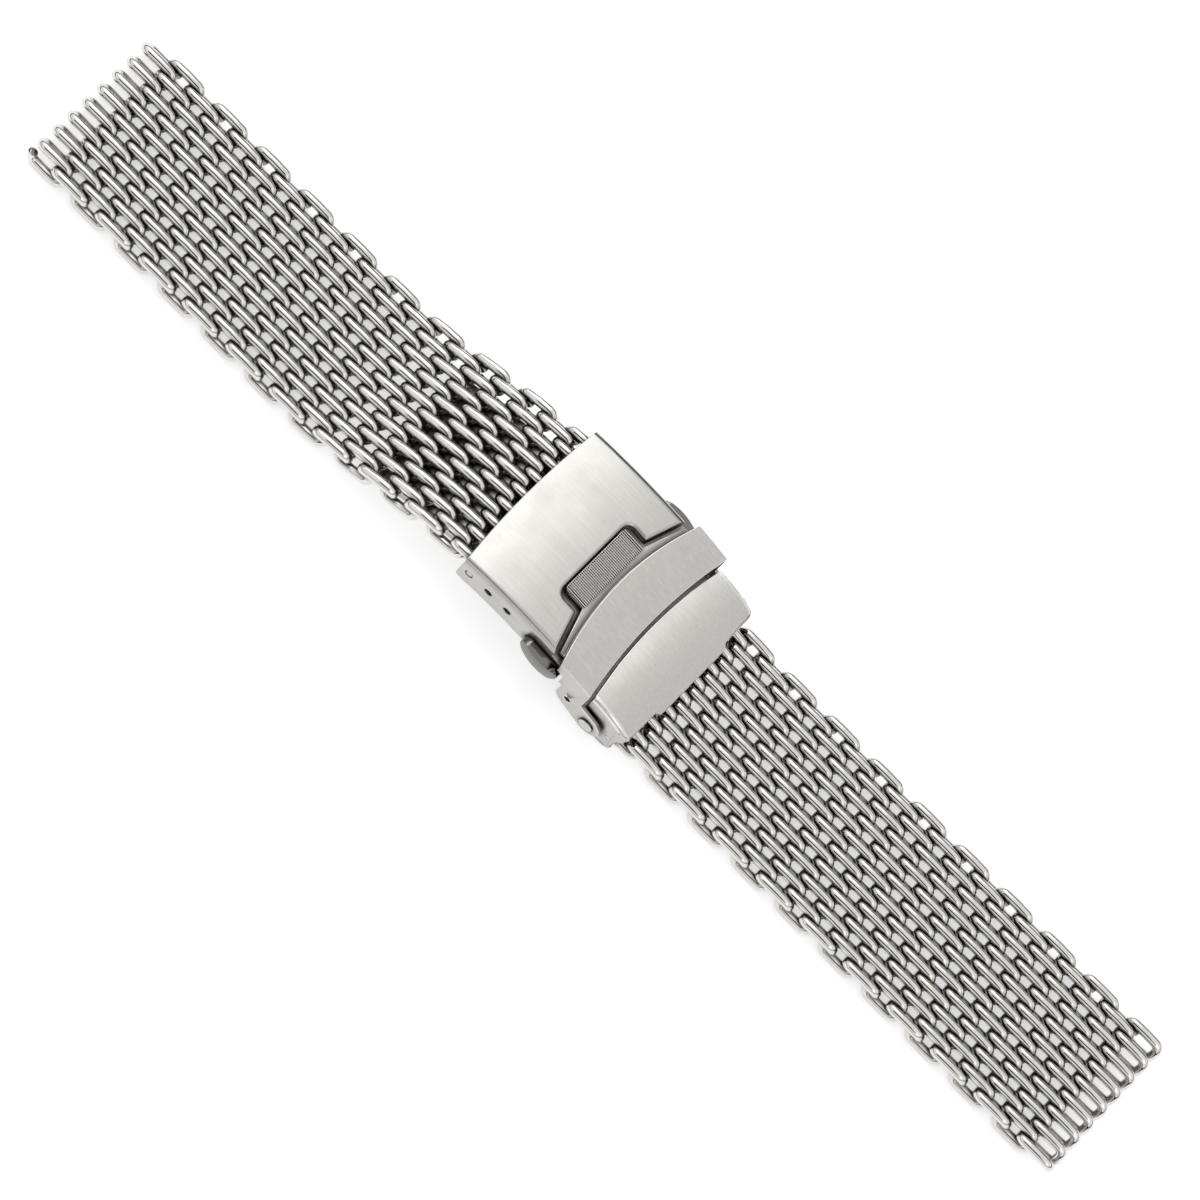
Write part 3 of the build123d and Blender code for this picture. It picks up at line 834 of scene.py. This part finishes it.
def floor():
    """A pale floor that looks white and keeps the shadow."""
    place = Vector((0, 0, -floor_drop))
    sheet = facing_plane("floor", place, Vector((0, 0, 1)), floor_width, floor_width, Vector((1, 0, 0)))
    material = plain_material("white_table", floor_colour, matt)
    nodes = Nodes(material.node_tree)
    shader = material.node_tree.nodes["Principled BSDF"]
    grain = nodes.add("ShaderNodeTexNoise", {"Scale": floor_grain_scale, "Detail": 2.0})
    grain_bump = nodes.add(
        "ShaderNodeBump", {"Height": grain.outputs["Fac"], "Distance": floor_grain_depth}
    )
    nodes.tree.links.new(grain_bump.outputs[0], shader.inputs["Normal"])
    shader.inputs["Emission Color"].default_value = white
    nodes.tree.links.new(
        nodes.maths("MULTIPLY", seen_directly(nodes), floor_glow), shader.inputs["Emission Strength"]
    )
    sheet.data.materials.append(material)


def world():
    """White where it is seen, and dimmer where it lights the bracelet."""
    surroundings = bpy.data.worlds.new("studio")
    surroundings.use_nodes = True
    bpy.context.scene.world = surroundings
    nodes = Nodes(surroundings.node_tree)
    background = surroundings.node_tree.nodes["Background"]
    background.inputs["Color"].default_value = white
    level = nodes.maths("MULTIPLY_ADD", seen_directly(nodes), 1 - world_level, world_level)
    nodes.tree.links.new(level, background.inputs["Strength"])


def lamp(name, place, size, watts):
    """A soft rectangular lamp that points at the bracelet."""
    data = bpy.data.lights.new(name, "AREA")
    data.shape = "RECTANGLE"
    data.size, data.size_y = size
    data.energy = watts
    shown = linked(name, data)
    shown.location = place
    shown.rotation_euler = (-place).to_track_quat("-Z", "Y").to_euler()


def only_reflected(name, card):
    """Makes a sheet black and lets it show only in metal."""
    card.data.materials.append(plain_material(name, black, matt))
    card.visible_camera = False
    card.visible_shadow = False
    card.visible_diffuse = False


def dark_sheet(name, way, distance, width):
    """A black sheet that only shows as a dark line in polished metal."""
    card = facing_plane(name, looks_at + way * distance, looks_at, width, gap_height, Vector((1, 0, 0)))
    only_reflected(name, card)


def dark_surround():
    """A low black wall all round, which draws dark outlines on the wires."""
    work = bmesh.new()
    bmesh.ops.create_cone(
        work,
        cap_ends=False,
        segments=surround_sides,
        radius1=surround_radius,
        radius2=surround_radius,
        depth=surround_height,
    )
    bmesh.ops.translate(work, vec=(0, 0, surround_height / 2), verts=work.verts)
    mesh = bpy.data.meshes.new("low_wall")
    work.to_mesh(mesh)
    work.free()
    only_reflected("low_wall", linked("low_wall", mesh))


def studio():
    """The camera, the white surroundings, the black cards and the two lamps."""
    camera()
    floor()
    world()
    gap = Vector((0, -cos(gap_elevation), sin(gap_elevation)))
    dark_sheet("lens_gap", gap, gap_distance, gap_width)
    far_gap = Vector((0, cos(far_gap_elevation), sin(far_gap_elevation)))
    dark_sheet("far_gap", far_gap, far_gap_distance, far_gap_width)
    dark_surround()
    lamp("key", key_place, key_size, key_watts)
    lamp("fill", fill_place, fill_size, fill_watts)
    bpy.context.scene.view_settings.view_transform = "Standard"


mesh_band()
clasp()
studio()
